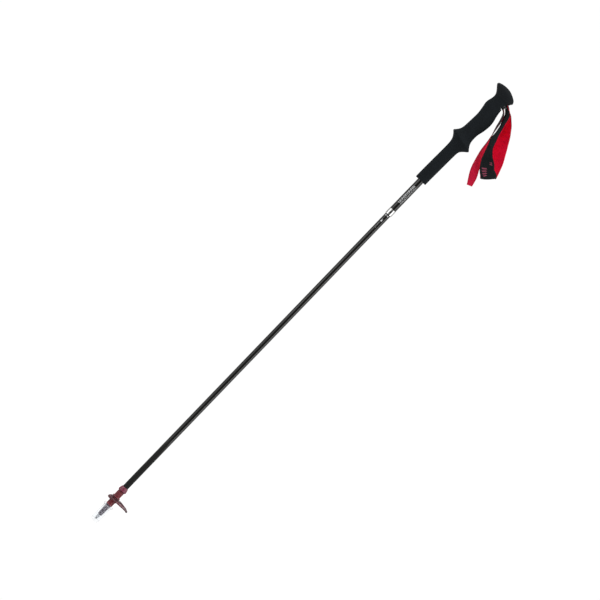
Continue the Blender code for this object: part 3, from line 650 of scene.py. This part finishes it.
PLY_THICKNESS = 1.1
PLY_OFFSET = 0.70  # from the band's middle to the middle of either ply
STITCH_INSET = 2.4
SEAM_END = 14  # how far from the band's ends the stitching stops


def fold_rows():
    """The U-turn at the bottom of the loop, about a line that leans as the band's width does."""
    lean = math.radians(FOLD_LEAN)
    down = Vector((math.sin(lean), 0, -math.cos(lean)))
    rows = []
    for step in range(FOLD_STEPS + 1):
        turn = math.pi * step / FOLD_STEPS
        point = Vector(FOLD_CENTRE) + FOLD_RADIUS * (math.sin(turn) * down - math.cos(turn) * Vector((0, 1, 0)))
        rows.append((*point, FOLD_WIDTH, FOLD_LEAN, 0))
    return rows


class Band:
    """A band's centre line with its width and normal at each station, and its length so far."""

    def __init__(self, rows):
        self.centre = np.array([row[:3] for row in rows])
        self.width = np.array([row[3] for row in rows])
        along = np.gradient(self.centre, axis=0)
        along /= np.linalg.norm(along, axis=1)[:, None]
        lean = np.radians([row[4] for row in rows])
        twist = np.radians([row[5] for row in rows])
        across = np.stack([np.cos(twist) * np.cos(lean), -np.sin(twist), np.cos(twist) * np.sin(lean)], axis=1)
        across -= along * (across * along).sum(axis=1)[:, None]
        self.across = across / np.linalg.norm(across, axis=1)[:, None]
        self.normal = np.cross(along, self.across)
        steps = np.linalg.norm(np.diff(self.centre, axis=0), axis=1)
        self.length = np.concatenate([[0.0], np.cumsum(steps)])

    def frame_at(self, length):
        """Centre, across, normal and width at a length from the band's start."""
        values = []
        for table in (self.centre, self.across, self.normal):
            values.append(np.array([np.interp(length, self.length, table[:, axis]) for axis in range(3)]))
        return (*values, float(np.interp(length, self.length, self.width)))

    def point(self, length, side, level):
        """A point side millimetres from the centre line and level millimetres off the band's middle."""
        centre, across, normal, _ = self.frame_at(length)
        return centre + across * side + normal * (level + self.ripple(length, side))

    def ripple(self, length, side):
        """Slight waves where the band is bent, the same for both plies."""
        return 0.0

    def area(self):
        middle = (self.width[1:] + self.width[:-1]) / 2
        return float((np.diff(self.length) * middle).sum()) * MM * MM


class WristBand(Band):
    def ripple(self, length, side):
        total = self.length[-1]
        edge = min(length / 30, (total - length) / 30, 1.0)
        wave = 0.45 * math.sin(length / 8.5 + side * 0.11) + 0.30 * math.sin(length / 4.7 - side * 0.17 + 1.3)
        return edge * wave


class FreeEnd(Band):
    def ripple(self, length, side):
        return min(length / 40, 1.0) * 0.35 * math.sin(length / 9.0 + side * 0.09)


def band_mesh(name, band, thickness, offset, crown=0.0, spare=0.0, columns=22):
    """A woven band with rounded selvedges. Crown makes its outer face fuller, and spare makes it wider."""
    face = [math.sin(math.pi * (i / columns - 0.5)) for i in range(columns + 1)]
    mesh_data = bmesh.new()
    layer = mesh_data.verts.layers.float_vector.new("cloth")
    rows = []
    for i, length in enumerate(band.length):
        half = band.width[i] / 2 + spare
        ring = []
        for share, sign in [(s, 1) for s in face] + [(s, -1) for s in reversed(face[1:-1])]:
            edge = math.sqrt(max(1 - abs(share) ** 10, 0.0))
            full = crown * (1 - share ** 4) if sign > 0 else 0.0
            level = offset + sign * (thickness / 2 * edge) + full
            side = share * half
            move = band.normal[i] * (level + band.ripple(length, side))
            vertex = mesh_data.verts.new(band.centre[i] + band.across[i] * side + move)
            vertex[layer] = (side, length, level)
            ring.append(vertex)
        rows.append(ring)
    join_rows(mesh_data, rows)
    return finished_mesh(name, mesh_data, CLOTH_ANGLE)


def stitch(mesh_data, start, end, normal, thickness):
    """One stitch: a thread that rises from the cloth and dives back in."""
    start, end, normal = Vector(start), Vector(end), Vector(normal)
    along = (end - start).normalized()
    side = along.cross(normal).normalized()
    rings = []
    sections = ((0.0, -0.3, 0.5), (0.12, 0.15, 0.9), (0.5, 0.35, 1.0), (0.88, 0.15, 0.9), (1.0, -0.3, 0.5))
    for share, lift, size in sections:
        middle = start.lerp(end, share) + normal * (lift * thickness)
        ring = []
        for k in range(6):
            angle = math.pi * k / 3
            reach = side * math.cos(angle) + normal * math.sin(angle)
            ring.append(mesh_data.verts.new(middle + reach * (thickness / 2 * size)))
        rings.append(ring)
    join_rows(mesh_data, rings)


def stitch_row(mesh_data, band, level, inset, start, end, pitch=3.4, gap=0.9, thickness=0.5):
    """A row of stitches along an edge: inset is its distance from the edge, negative for the -X edge."""
    length = start
    outward = 1 if level > 0 else -1
    while length + pitch - gap < end:
        ends = []
        for place in (length, length + pitch - gap):
            _, _, normal, width = band.frame_at(place)
            side = math.copysign(width / 2 - abs(inset), inset)
            ends.append(band.point(place, side, level))
        stitch(mesh_data, *ends, normal * outward, thickness)
        length += pitch


def seams(name, band, color, levels, inset, start, end, **options):
    """Stitching along both edges of a band, at each level given."""
    threads = bmesh.new()
    for level in levels:
        for side in (-inset, inset):
            stitch_row(threads, band, level, side, start, end, **options)
    return add_piece(name, threads, "strap", color + "_fabric", finish=color + "_thread")


def band_plate(mesh_data, band, start, end, low, high, level, slant=0.0, lift=0.06):
    """A printed plate on the band, from start to end along it and low to high across it."""
    steps = 6
    outward = 1 if level > 0 else -1
    rings = []
    for i in range(steps + 1):
        place = start + (end - start) * i / steps
        shift = slant * i / steps
        rings.append([
            band.point(place, side + shift, level + outward * up)
            for side, up in ((low, 0.0), (high, 0.0), (high, lift), (low, lift))
        ])
    append_mesh(mesh_data, skin(rings))


def build_strap():
    fold = fold_rows()
    front = smooth_rows(FRONT_LEG + fold[:1], ROWS_PER_SPAN)[:-1]
    rows = front + fold + smooth_rows(fold[-1:] + REAR_LEG, ROWS_PER_SPAN)[1:]
    band = WristBand(rows)
    outer = band_mesh("wrist_band", band, PLY_THICKNESS, PLY_OFFSET, crown=0.45)
    inner = band_mesh("wrist_band_lining", band, PLY_THICKNESS, -PLY_OFFSET, spare=0.35)
    wrist = add_piece("wrist_band", outer, "strap", "black_fabric", ["strap_band"])
    lining = add_piece("wrist_band_lining", inner, "strap", "red_fabric", ["strap_lining"])

    total = band.length[-1]
    seam = (STITCH_INSET, SEAM_END, total - SEAM_END)
    seams("wrist_band_stitches", band, "black", [PLY_OFFSET + PLY_THICKNESS / 2 + 0.2], *seam)
    red_stitches = seams("lining_stitches", band, "red", [-PLY_OFFSET - PLY_THICKNESS / 2], *seam)
    band.area()

    build_band_print(band)
    build_tail()
    build_root_wrap()


def build_band_print(band):
    """Generic print near the fold: slanted bars, and two small bars above them."""
    front_end = float(band.length[ROWS_PER_SPAN * len(FRONT_LEG)])
    plates = bmesh.new()
    for number in range(4):
        start = front_end - 19.0 + number * 4.6
        band_plate(plates, band, start, start + 2.6, -12.5, -1.0 - number * 1.2, 1.66, 2.4)
    for number in range(2):
        start = front_end - 33.0 + number * 3.6
        band_plate(plates, band, start, start + 2.0, 4.0, 11.0, 1.60, 1.5)
    add_piece("wrist_band_print", plates, "strap", "black_fabric", finish="pink_print")


def build_tail():
    tail = FreeEnd(smooth_rows(TAIL, ROWS_PER_SPAN))
    mesh = band_mesh("strap_free_end", tail, 1.4, 0.0, crown=0.1, columns=18)
    # The free end wears the darker red copy, whose colour holds painted shade.
    piece = add_piece("strap_free_end", mesh, "strap", "red_fabric", ["strap_tail"], finish="shaded_tail_fabric")
    total = tail.length[-1]
    stitches = seams("free_end_stitches", tail, "red", (0.82, -0.72), 2.0, 24, total - 6, thickness=0.4)
    tail.area()


def build_root_wrap():
    """Three turns of webbing round the wedge's pin, wound as one spiral that grows evenly outward."""
    half_width = 8.4
    turns = 3
    steps = 40
    inner, outer = 2.3, 5.9
    mesh_data = bmesh.new()
    layer = mesh_data.verts.layers.float_vector.new("cloth")
    thickness = (outer - inner) / turns
    columns = 10
    rows = []
    for i in range(steps * turns + 1):
        turn = i / steps
        radius = inner + thickness * 0.5 + thickness * turn * (turns - 1) / turns
        angle = 2 * math.pi * turn
        ring = []
        for side, level in [(s, 1) for s in range(columns + 1)] + [(s, -1) for s in range(columns, -1, -1)]:
            share = 2 * side / columns - 1
            reach = radius + level * (thickness * 0.44) * math.sqrt(1 - abs(share) ** 12 * 0.75)
            point = (PIN[0] + reach * math.cos(angle), share * half_width, PIN[2] + reach * math.sin(angle))
            vertex = mesh_data.verts.new(point)
            vertex[layer] = (share * half_width, radius * angle, level)
            ring.append(vertex)
        rows.append(ring)
    join_rows(mesh_data, rows)
    add_piece("strap_root_turns", finished_mesh("strap_root_turns", mesh_data, CLOTH_ANGLE), "strap",
              "black_fabric", ["strap_root_wrap"])
    build_root_pads()


def build_root_pads():
    """Folded webbing where the wrap runs out into the band's two legs and, below them, the free end."""
    outlines = {
        "strap_root_pad": [(20.6, 1317.0), (26.4, 1316.4), (31.0, 1312.7), (34.0, 1309.6), (30.0, 1310.3),
                           (24.6, 1312.6)],
        "strap_tail_pad": [(15.8, 1304.9), (19.5, 1306.2), (24.4, 1305.8), (28.6, 1301.9), (25.3, 1302.4),
                           (20.5, 1303.9), (17.0, 1304.0)],
    }
    for name, corners in outlines.items():
        outline = filleted(corners, 0.6, True)
        middle_x = sum(x for x, _ in corners) / len(corners)
        middle_z = sum(z for _, z in corners) / len(corners)
        rings = []
        for y, share in ((-7.6, 0.55), (-7.0, 0.92), (-5.5, 1.0), (5.5, 1.0), (7.0, 0.92), (7.6, 0.55)):
            rings.append([(middle_x + (x - middle_x) * share, y, middle_z + (z - middle_z) * share)
                          for x, z in outline])
        pad = skin(rings)
        layer = pad.verts.layers.float_vector.new("cloth")
        for vertex in pad.verts:
            vertex[layer] = (vertex.co.y, vertex.co.x, 0)
        add_piece(name, finished_mesh(name, pad, CLOTH_ANGLE), "strap", "black_fabric")


# ---------------------------------------------------------------- tip, basket and protector

def build_tip():
    ferrule = [
        (0, 33), (2.35, 33), (2.35, 19), (4.6, 19), (5.2, 20), (5.9, 42), (5.9, 47.9), (6.3, 47.9), (6.3, 90),
        (7.0, 90.2), (7.0, 92.0), (6.0, 92.0), (6.0, 119), (5.0, 120), (0, 120),
    ]

    def ribbed(radius, z, angle):
        """Eight shallow flutes down the ferrule's cone."""
        if radius < 4.8 or not 22 < z < 41.5:
            return radius
        fade = min((z - 22) / 3, (41.5 - z) / 3, 1.0)
        return radius - 0.12 * fade * max(math.cos(8 * angle), 0.0) ** 3

    outline = ferrule[:5] + [(5.2 + 0.7 * k / 22, 20 + k) for k in range(1, 22)] + ferrule[5:]
    add_turned("tip_ferrule_cone", outline, "lower_section", "grey_plastic", "tip_ferrule", radius=0.25,
               shape=ribbed)
    flange = [(6.1, 43), (6.7, 43), (7.0, 43.4), (7.0, 44.9), (6.6, 45.1), (6.6, 45.5), (7.0, 45.7), (7.0, 47.2),
              (6.7, 47.6), (6.1, 47.6)]
    add_turned("ferrule_flange_ring", flange, "lower_section", "grey_plastic", "ferrule_flange", closed=True,
               radius=0.2)

    cup = [(7.3, 90.3), (8.6, 90.3), (9.9, 91.2), (10.4, 92.9), (10.0, 95.3), (8.9, 100.2), (8.1, 102.2),
           (7.8, 102.6), (7.3, 102.6)]

    def slotted(radius, z, angle):
        """Twelve finger grooves round the cup's waist."""
        fade = max(min((z - 91.5) / 2.5, (101 - z) / 3, 1.0), 0.0)
        return radius - (0.35 * fade * max(math.cos(12 * angle), 0.0) ** 2 if radius > 8 else 0.0)

    add_turned("ferrule_cup_ring", cup, "lower_section", "red_plastic", "ferrule_cup", finish="cup_plastic",
               closed=True, radius=0.5, shape=slotted)

    holder = [(0, 15), (1.35, 15), (1.35, 10), (2.5, 10), (2.9, 10.6), (2.95, 12.6), (2.75, 12.9), (2.75, 13.4),
              (3.0, 13.7), (3.1, 18.7), (2.15, 18.7), (2.15, 32), (0, 32)]
    add_turned("tip_holder_neck", holder, "lower_section", "steel", "tip_holder", radius=0.15, segments=64)
    build_point()


def build_point():
    """The carbide point: a hollow-ended crown with six teeth."""
    profile = [(0, 6.1), (0.8, 6.0), (1.5, 5.1), (1.9, 5.2), (2.3, 8.8), (2.3, 9.7), (1.2, 9.7), (1.2, 14.5),
               (0, 14.5)]
    outline = filleted(profile, 0.12, False)
    segments = 72
    rings = []
    for radius, z in outline:
        ring = []
        for angle in around(segments):
            tooth = 0.45 * max(math.cos(6 * angle), 0.0) if 1.0 < radius < 2.2 and z < 6.5 else 0.0
            ring.append(polar(radius, angle, z + tooth))
        rings.append(ring)
    add_piece("carbide_crown", skin(rings, caps=False), "lower_section", "carbide", ["carbide_tip"])


DISC_BORE = 8.3
DISC_CENTRE_X = 13.0
DISC_HALF_LENGTH = 29.0
DISC_HALF_DEPTH = 26.0
# Each row is the share of the way from the bore to the rim, z, and how far the row drops where the rim has its lip.
DISC_SECTION = [
    (0.00, 69.8, 0.0), (0.40, 68.9, 0.0), (0.80, 66.8, 0.0), (0.90, 65.0, 2.6), (0.96, 64.8, 3.3),
    (1.00, 65.6, 2.0), (0.99, 66.8, 0.6), (0.90, 67.8, 0.0), (0.40, 70.8, 0.0), (0.00, 72.0, 0.0),
]
# Each window is its middle angle and its half angle, in degrees, and the shares at its inner and outer ends.
WINDOWS = [(-92, 31, 0.20, 0.84), (92, 31, 0.20, 0.84), (-34, 19, 0.36, 0.76), (34, 19, 0.36, 0.76)]
NARROWEST_SPOKE = 1.6
RIB_ANGLES = (-57, -12, 12, 57, 131, -131)


def disc_radius(angle):
    """The distance from the pole's axis to the rim, which is an ellipse moved along +X."""
    a, b, offset = DISC_HALF_LENGTH, DISC_HALF_DEPTH, DISC_CENTRE_X
    cosine, sine = math.cos(angle), math.sin(angle)
    quadratic = (cosine / a) ** 2 + (sine / b) ** 2
    linear = -2 * offset * cosine / a ** 2
    constant = (offset / a) ** 2 - 1
    return (-linear + math.sqrt(linear ** 2 - 4 * quadratic * constant)) / (2 * quadratic)


def disc_point(angle, share):
    radius = DISC_BORE + (disc_radius(angle) - DISC_BORE) * share
    return radius * math.cos(angle), radius * math.sin(angle)


def lip_depth(angle):
    """How much of the rim's lip there is: all of it at the long end's tip and along the short end."""
    toward_long_end = math.cos(angle)
    if toward_long_end > 0:
        return toward_long_end ** 24
    share = min(max((-toward_long_end - 0.1) / 0.4, 0.0), 1.0)
    return share * share * (3 - 2 * share)


def window_outline(middle, half_angle, inner, outer):
    """An opening between two spokes, with rounded corners."""
    steps = 8
    outline = []
    for share, turn in ((inner, 1), (outer, -1)):
        centre_radius = math.hypot(*disc_point(math.radians(middle), share))
        half = math.radians(half_angle) - NARROWEST_SPOKE / 2 / centre_radius
        for i in range(steps + 1):
            angle = math.radians(middle) + turn * half * (2 * i / steps - 1)
            outline.append(disc_point(angle, share))
    return filleted(outline, 1.6, True, 5)


def build_basket():
    width = 20.0  # millimetres, about the disc's mean width from bore to rim
    rings = []
    for angle in around(160):
        lip = lip_depth(angle)
        outline = filleted([(share * width, z - drop * lip) for share, z, drop in DISC_SECTION], 0.6, True, 4)
        rings.append([(*disc_point(angle, across / width), z) for across, z in outline])
    disc = finished_mesh("basket_plate", skin(rings, closed_rows=True, caps=False))
    windows = []
    for window in WINDOWS:
        points = window_outline(*window)
        windows.append(finished_mesh("window", skin([[(x, y, z) for x, y in points] for z in (50, 85)])))
    disc = subtract(disc, *windows)
    add_piece("basket_plate", disc, "basket", "basket_plastic", ["basket_disc"])
    build_ribs()

    hub = [
        (6.6, 48.3), (7.6, 48.3), (8.0, 48.8), (8.0, 60.8), (9.5, 61.8), (9.5, 64.0), (10.0, 64.4), (10.0, 66.3),
        (9.5, 66.7), (9.5, 69.4), (8.0, 69.4),
        (8.0, 76.0), (8.0, 79.0), (8.0, 82.0), (8.0, 85.0), (8.0, 88.6), (7.6, 89.8), (6.6, 89.8),
    ]

    def knurled(radius, z, angle):
        """Finger flutes on the hub's upper part, and a coarser set on its lower part."""
        if radius < 7.4:
            return radius
        if 75.5 < z < 89:
            fade = min((z - 75.5) / 1.5, (89 - z) / 1.0, 1.0)
            return radius - 0.30 * fade * (0.5 + 0.5 * math.cos(24 * angle))
        if 49.2 < z < 60.5:
            return radius - 0.22 * (0.5 + 0.5 * math.cos(12 * angle))
        return radius

    add_turned("basket_hub_sleeve", hub, "basket", "red_plastic", "basket_hub", closed=True, radius=0.4,
               segments=192, shape=knurled)
    ring = [(8.3, 72.4), (10.0, 72.4), (10.3, 72.9), (9.9, 74.4), (9.2, 74.9), (8.3, 74.9)]
    add_turned("basket_snap_collar", ring, "basket", "red_plastic", "basket_snap_ring", closed=True, radius=0.3)


def build_ribs():
    """A rounded stiffening rib along each spoke of the disc's top."""
    mesh_data = bmesh.new()
    half, rise = 0.7, 0.7
    for angle in map(math.radians, RIB_ANGLES):
        side = Vector((-math.sin(angle), math.cos(angle), 0))
        rings = []
        for share in (0.12, 0.18, 0.3, 0.5, 0.7, 0.82, 0.88):
            x, y = disc_point(angle, share)
            z = np.interp(share, (0.0, 0.40, 0.90), (72.0, 70.8, 67.8))
            size = 0.3 if share in (0.12, 0.88) else 1.0
            ring = []
            for k in range(9):
                bend = math.pi * k / 8
                ring.append(Vector((x, y, z - 0.3)) + side * (half * math.cos(bend) * size)
                            + Vector((0, 0, (rise * size + 0.3) * math.sin(bend))))
            rings.append(ring)
        append_mesh(mesh_data, skin(rings))
    add_piece("basket_ribs", mesh_data, "basket", "basket_plastic")


def build_protector():
    cap = [
        (0, 0), (5.0, 0), (8.6, 1.2), (9.9, 4.5), (10.0, 43.0), (11.2, 44.6), (13.2, 46.0), (13.4, 48.6),
        (12.6, 50.0), (11.2, 50.0), (10.6, 45.7), (7.5, 44.7), (7.5, 42.7), (6.3, 42.7), (6.3, 41.2), (8.9, 39.7),
        (8.8, 7.1), (7.6, 6.0), (4.7, 6.0), (4.6, 18.2), (3.5, 18.2), (3.4, 9.0), (2.7, 4.6), (0, 4.6),
    ]
    add_turned("tip_protector_cap", cap, "protector", "clear_plastic", "tip_protector", radius=0.5)


# ---------------------------------------------------------------- lock and carried-over nodes

def build_stud():
    """The lock's stud with its real thread, 0.8 mm of pitch."""
    pitch, depth, radius, neck_radius = 0.8, 0.42, 2.4, 1.9
    foot, neck, top = 1037.0, 1103.5, 1108.0
    segments, rows_per_pitch = 24, 6
    count = int((neck - foot) / pitch * rows_per_pitch)
    rings = []
    for i in range(count + 1):
        z = foot + (neck - foot) * i / count
        ends = min((z - foot) / pitch, (neck - z) / pitch, 1.0)
        ring = []
        for k, angle in enumerate(around(segments)):
            phase = (z / pitch - k / segments) % 1.0
            reach = radius - depth * ends * abs(2 * phase - 1)
            ring.append(polar(reach, angle, z))
        rings.append(ring)
    for z in (neck + 0.02, top):
        rings.append([polar(neck_radius, angle, z) for angle in around(segments)])
    add_piece("lock_stud_thread", skin(rings), "lower_section", "steel", ["lock_stud"])


def finish_cad_nodes(nodes, record):
    """Every CAD node that still shows gets its slot's node material."""
    for row in record["subparts"]:
        node = nodes[row["node"]]
        node.data.materials.clear()
        node.data.materials.append(FINISHES[row["material_slot"]])


# ---------------------------------------------------------------- stage, light and camera

def seen_directly(tree):
    """1 for rays from the camera and rays through clear pieces, 0 for reflections and bounced light."""
    path = add_node(tree, "ShaderNodeLightPath").outputs
    kinds = {0: path["Is Camera Ray"], 1: path["Is Transmission Ray"]}
    return add_node(tree, "ShaderNodeMath", kinds, operation="MAXIMUM").outputs["Value"]


FLOOR_DIM = 0.25  # how strongly the floor glows for rays that do not see it directly


def build_stage():
    mesh_data = bmesh.new()
    bmesh.ops.create_circle(mesh_data, cap_ends=True, radius=1.6, segments=96)
    bmesh.ops.translate(mesh_data, vec=(0, 0, -0.002), verts=mesh_data.verts)
    mesh = bpy.data.meshes.new("floor")
    mesh_data.to_mesh(mesh)
    mesh_data.free()
    floor = new_object("floor", mesh)
    paper = bpy.data.materials.new("paper")
    paper.use_nodes = True
    tree = paper.node_tree
    glow = {"Value": seen_directly(tree), "To Min": FLOOR_DIM, "To Max": 1.0}
    looks = {"Base Color": (0.10, 0.10, 0.10, 1), "Roughness": 1.0, "Specular IOR Level": 0.0,
             "Emission Color": (1, 1, 1, 1),
             "Emission Strength": add_node(tree, "ShaderNodeMapRange", glow).outputs["Result"]}
    for socket, value in looks.items():
        connect(tree, value, tree.nodes["Principled BSDF"].inputs[socket])
    mesh.materials.append(paper)


def area_light(name, place, aim, width, height, watts):
    data = bpy.data.lights.new(name, "AREA")
    data.shape = "RECTANGLE"
    data.size, data.size_y = width, height
    data.energy = watts
    light = new_object(name, data)
    light.location = place
    light.rotation_euler = (Vector(aim) - Vector(place)).to_track_quat("-Z", "Y").to_euler()


# How bright the dome is from the photograph's camera side (0) round to the back (1), as (share, grey).
DOME = [(0.04, 0.03), (0.21, 0.62), (0.36, 1.0), (0.50, 0.60), (0.60, 0.26), (0.88, 0.26), (0.95, 0.60)]
DOME_STRENGTH = 1.7
BACKDROP = 1.02  # what is seen directly behind the pole, just over white
DARK_SIDE = math.radians(13)  # the dark part's turn from -Y towards +X


def build_light():
    """A white dome, fixed in the world and darkest on the photograph's camera side, and two soft boxes."""
    world = bpy.data.worlds.new("studio")
    bpy.context.scene.world = world
    world.use_nodes = True
    tree = world.node_tree
    direction = add_node(tree, "ShaderNodeTexCoord").outputs["Generated"]
    back = (-math.sin(DARK_SIDE), math.cos(DARK_SIDE), 0)
    facing = add_node(tree, "ShaderNodeVectorMath", {0: direction, 1: back}, operation="DOT_PRODUCT")
    place = add_node(tree, "ShaderNodeMapRange", {"Value": facing.outputs["Value"], "From Min": -1.0})
    dome = color_ramp(tree, place.outputs["Result"], [(share, (grey,) * 3) for share, grey in DOME])
    backdrop = (BACKDROP / DOME_STRENGTH,) * 3 + (1.0,)
    seen = add_node(tree, "ShaderNodeMix", {"Factor": seen_directly(tree), "A": dome, "B": backdrop},
                    data_type="RGBA")
    background = tree.nodes["Background"].inputs
    connect(tree, DOME_STRENGTH, background["Strength"])
    connect(tree, seen.outputs["Result"], background["Color"])
    area_light("left_box", (-2.4, -1.9, 1.8), (0, 0, 0.8), 1.2, 2.4, 14)
    area_light("right_box", (2.6, -1.7, 0.9), (0, 0, 0.8), 1.2, 2.6, 26)


FRAME_WIDTH = 1.350
CAMERA_DISTANCE = 6.75
VIEW_CENTRE = (-0.0095, 0.0, 0.6791)
LEAN = math.radians(43.91)  # the pole's lean from upright in the picture


def build_camera():
    data = bpy.data.cameras.new("camera")
    data.sensor_width = 36.0
    data.lens = CAMERA_DISTANCE / FRAME_WIDTH * data.sensor_width
    data.clip_end = 100.0
    camera = new_object("camera", data)
    right = Vector((math.cos(LEAN), 0, math.sin(LEAN)))
    up = Vector((-math.sin(LEAN), 0, math.cos(LEAN)))
    back = Vector((0, -1, 0))
    turn = Matrix((right, up, back)).transposed().to_4x4()
    camera.matrix_world = Matrix.Translation(Vector(VIEW_CENTRE) + back * CAMERA_DISTANCE) @ turn
    bpy.context.scene.camera = camera
    bpy.context.scene.view_settings.view_transform = "Standard"


def main():
    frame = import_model()
    make_finishes()
    build_camera()
    finish_cad_nodes(frame["nodes"], frame["record"])
    build_grip()
    build_tubes()
    build_strap()
    build_tip()
    build_basket()
    build_protector()
    build_stud()
    build_stage()
    build_light()


main()
